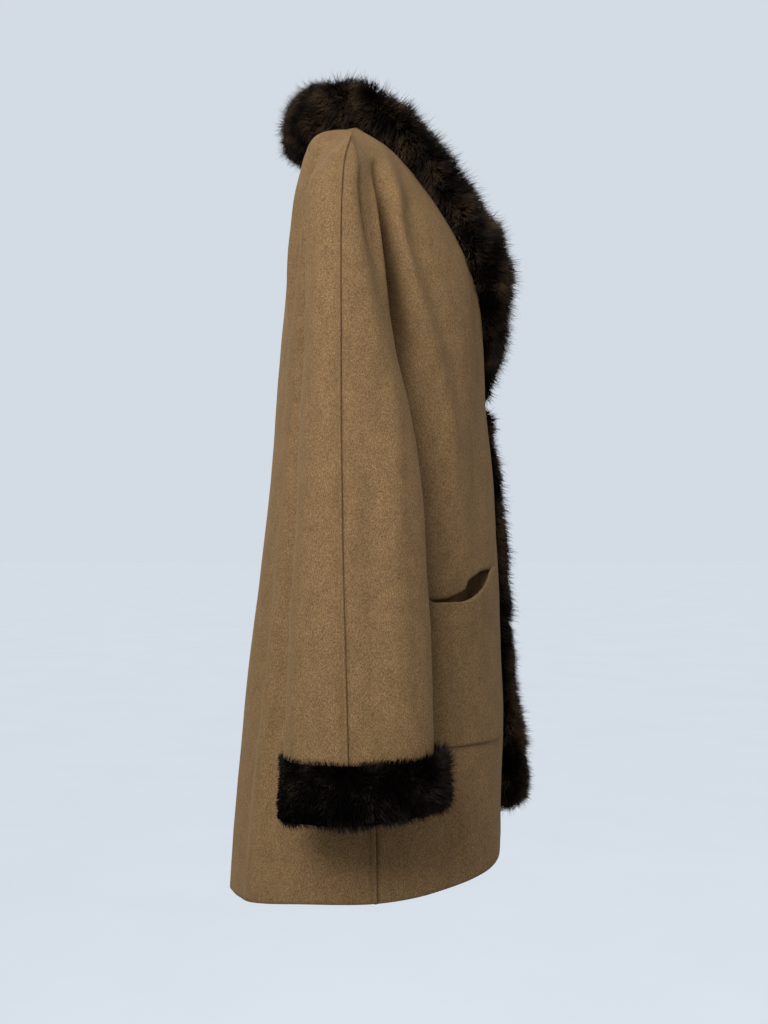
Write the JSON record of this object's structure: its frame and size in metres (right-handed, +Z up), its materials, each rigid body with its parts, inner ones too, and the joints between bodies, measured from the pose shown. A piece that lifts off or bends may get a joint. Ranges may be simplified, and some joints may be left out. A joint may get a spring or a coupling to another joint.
{
  "type": "wool coat",
  "caption": "Hip to three-quarter length wool coat, kimono cut, with fur shawl collar, fur front bands, fur cuffs and patch pockets, worn open-necked with no wearer.",
  "frame": {"origin": "middle of the neck base, level with the highest points of the shoulders, where a wearer holds the coat up", "axes": "+Z up, the front faces -Y, the wearer's right is at -X; the coat is mirrored about X = 0 but for its hook and eye"},
  "size_m": [0.686, 0.3132, 0.8438],
  "materials": {
    "wool": "brushed melange camel wool, matt",
    "fur": "near-black brown fur with long guard hairs",
    "metal": "dark lacquered wire, satin"
  },
  "bodies": {
    "root": {"front_right": "wool", "front_left": "wool", "back": "wool", "pocket_right": "wool", "pocket_left": "wool", "collar_back": "fur", "collar_right": "fur", "collar_left": "fur", "band_right": "fur", "band_left": "fur", "cuff_right": "fur", "cuff_left": "fur", "hook": "metal", "eye": "metal"}
  },
  "joints": []
}
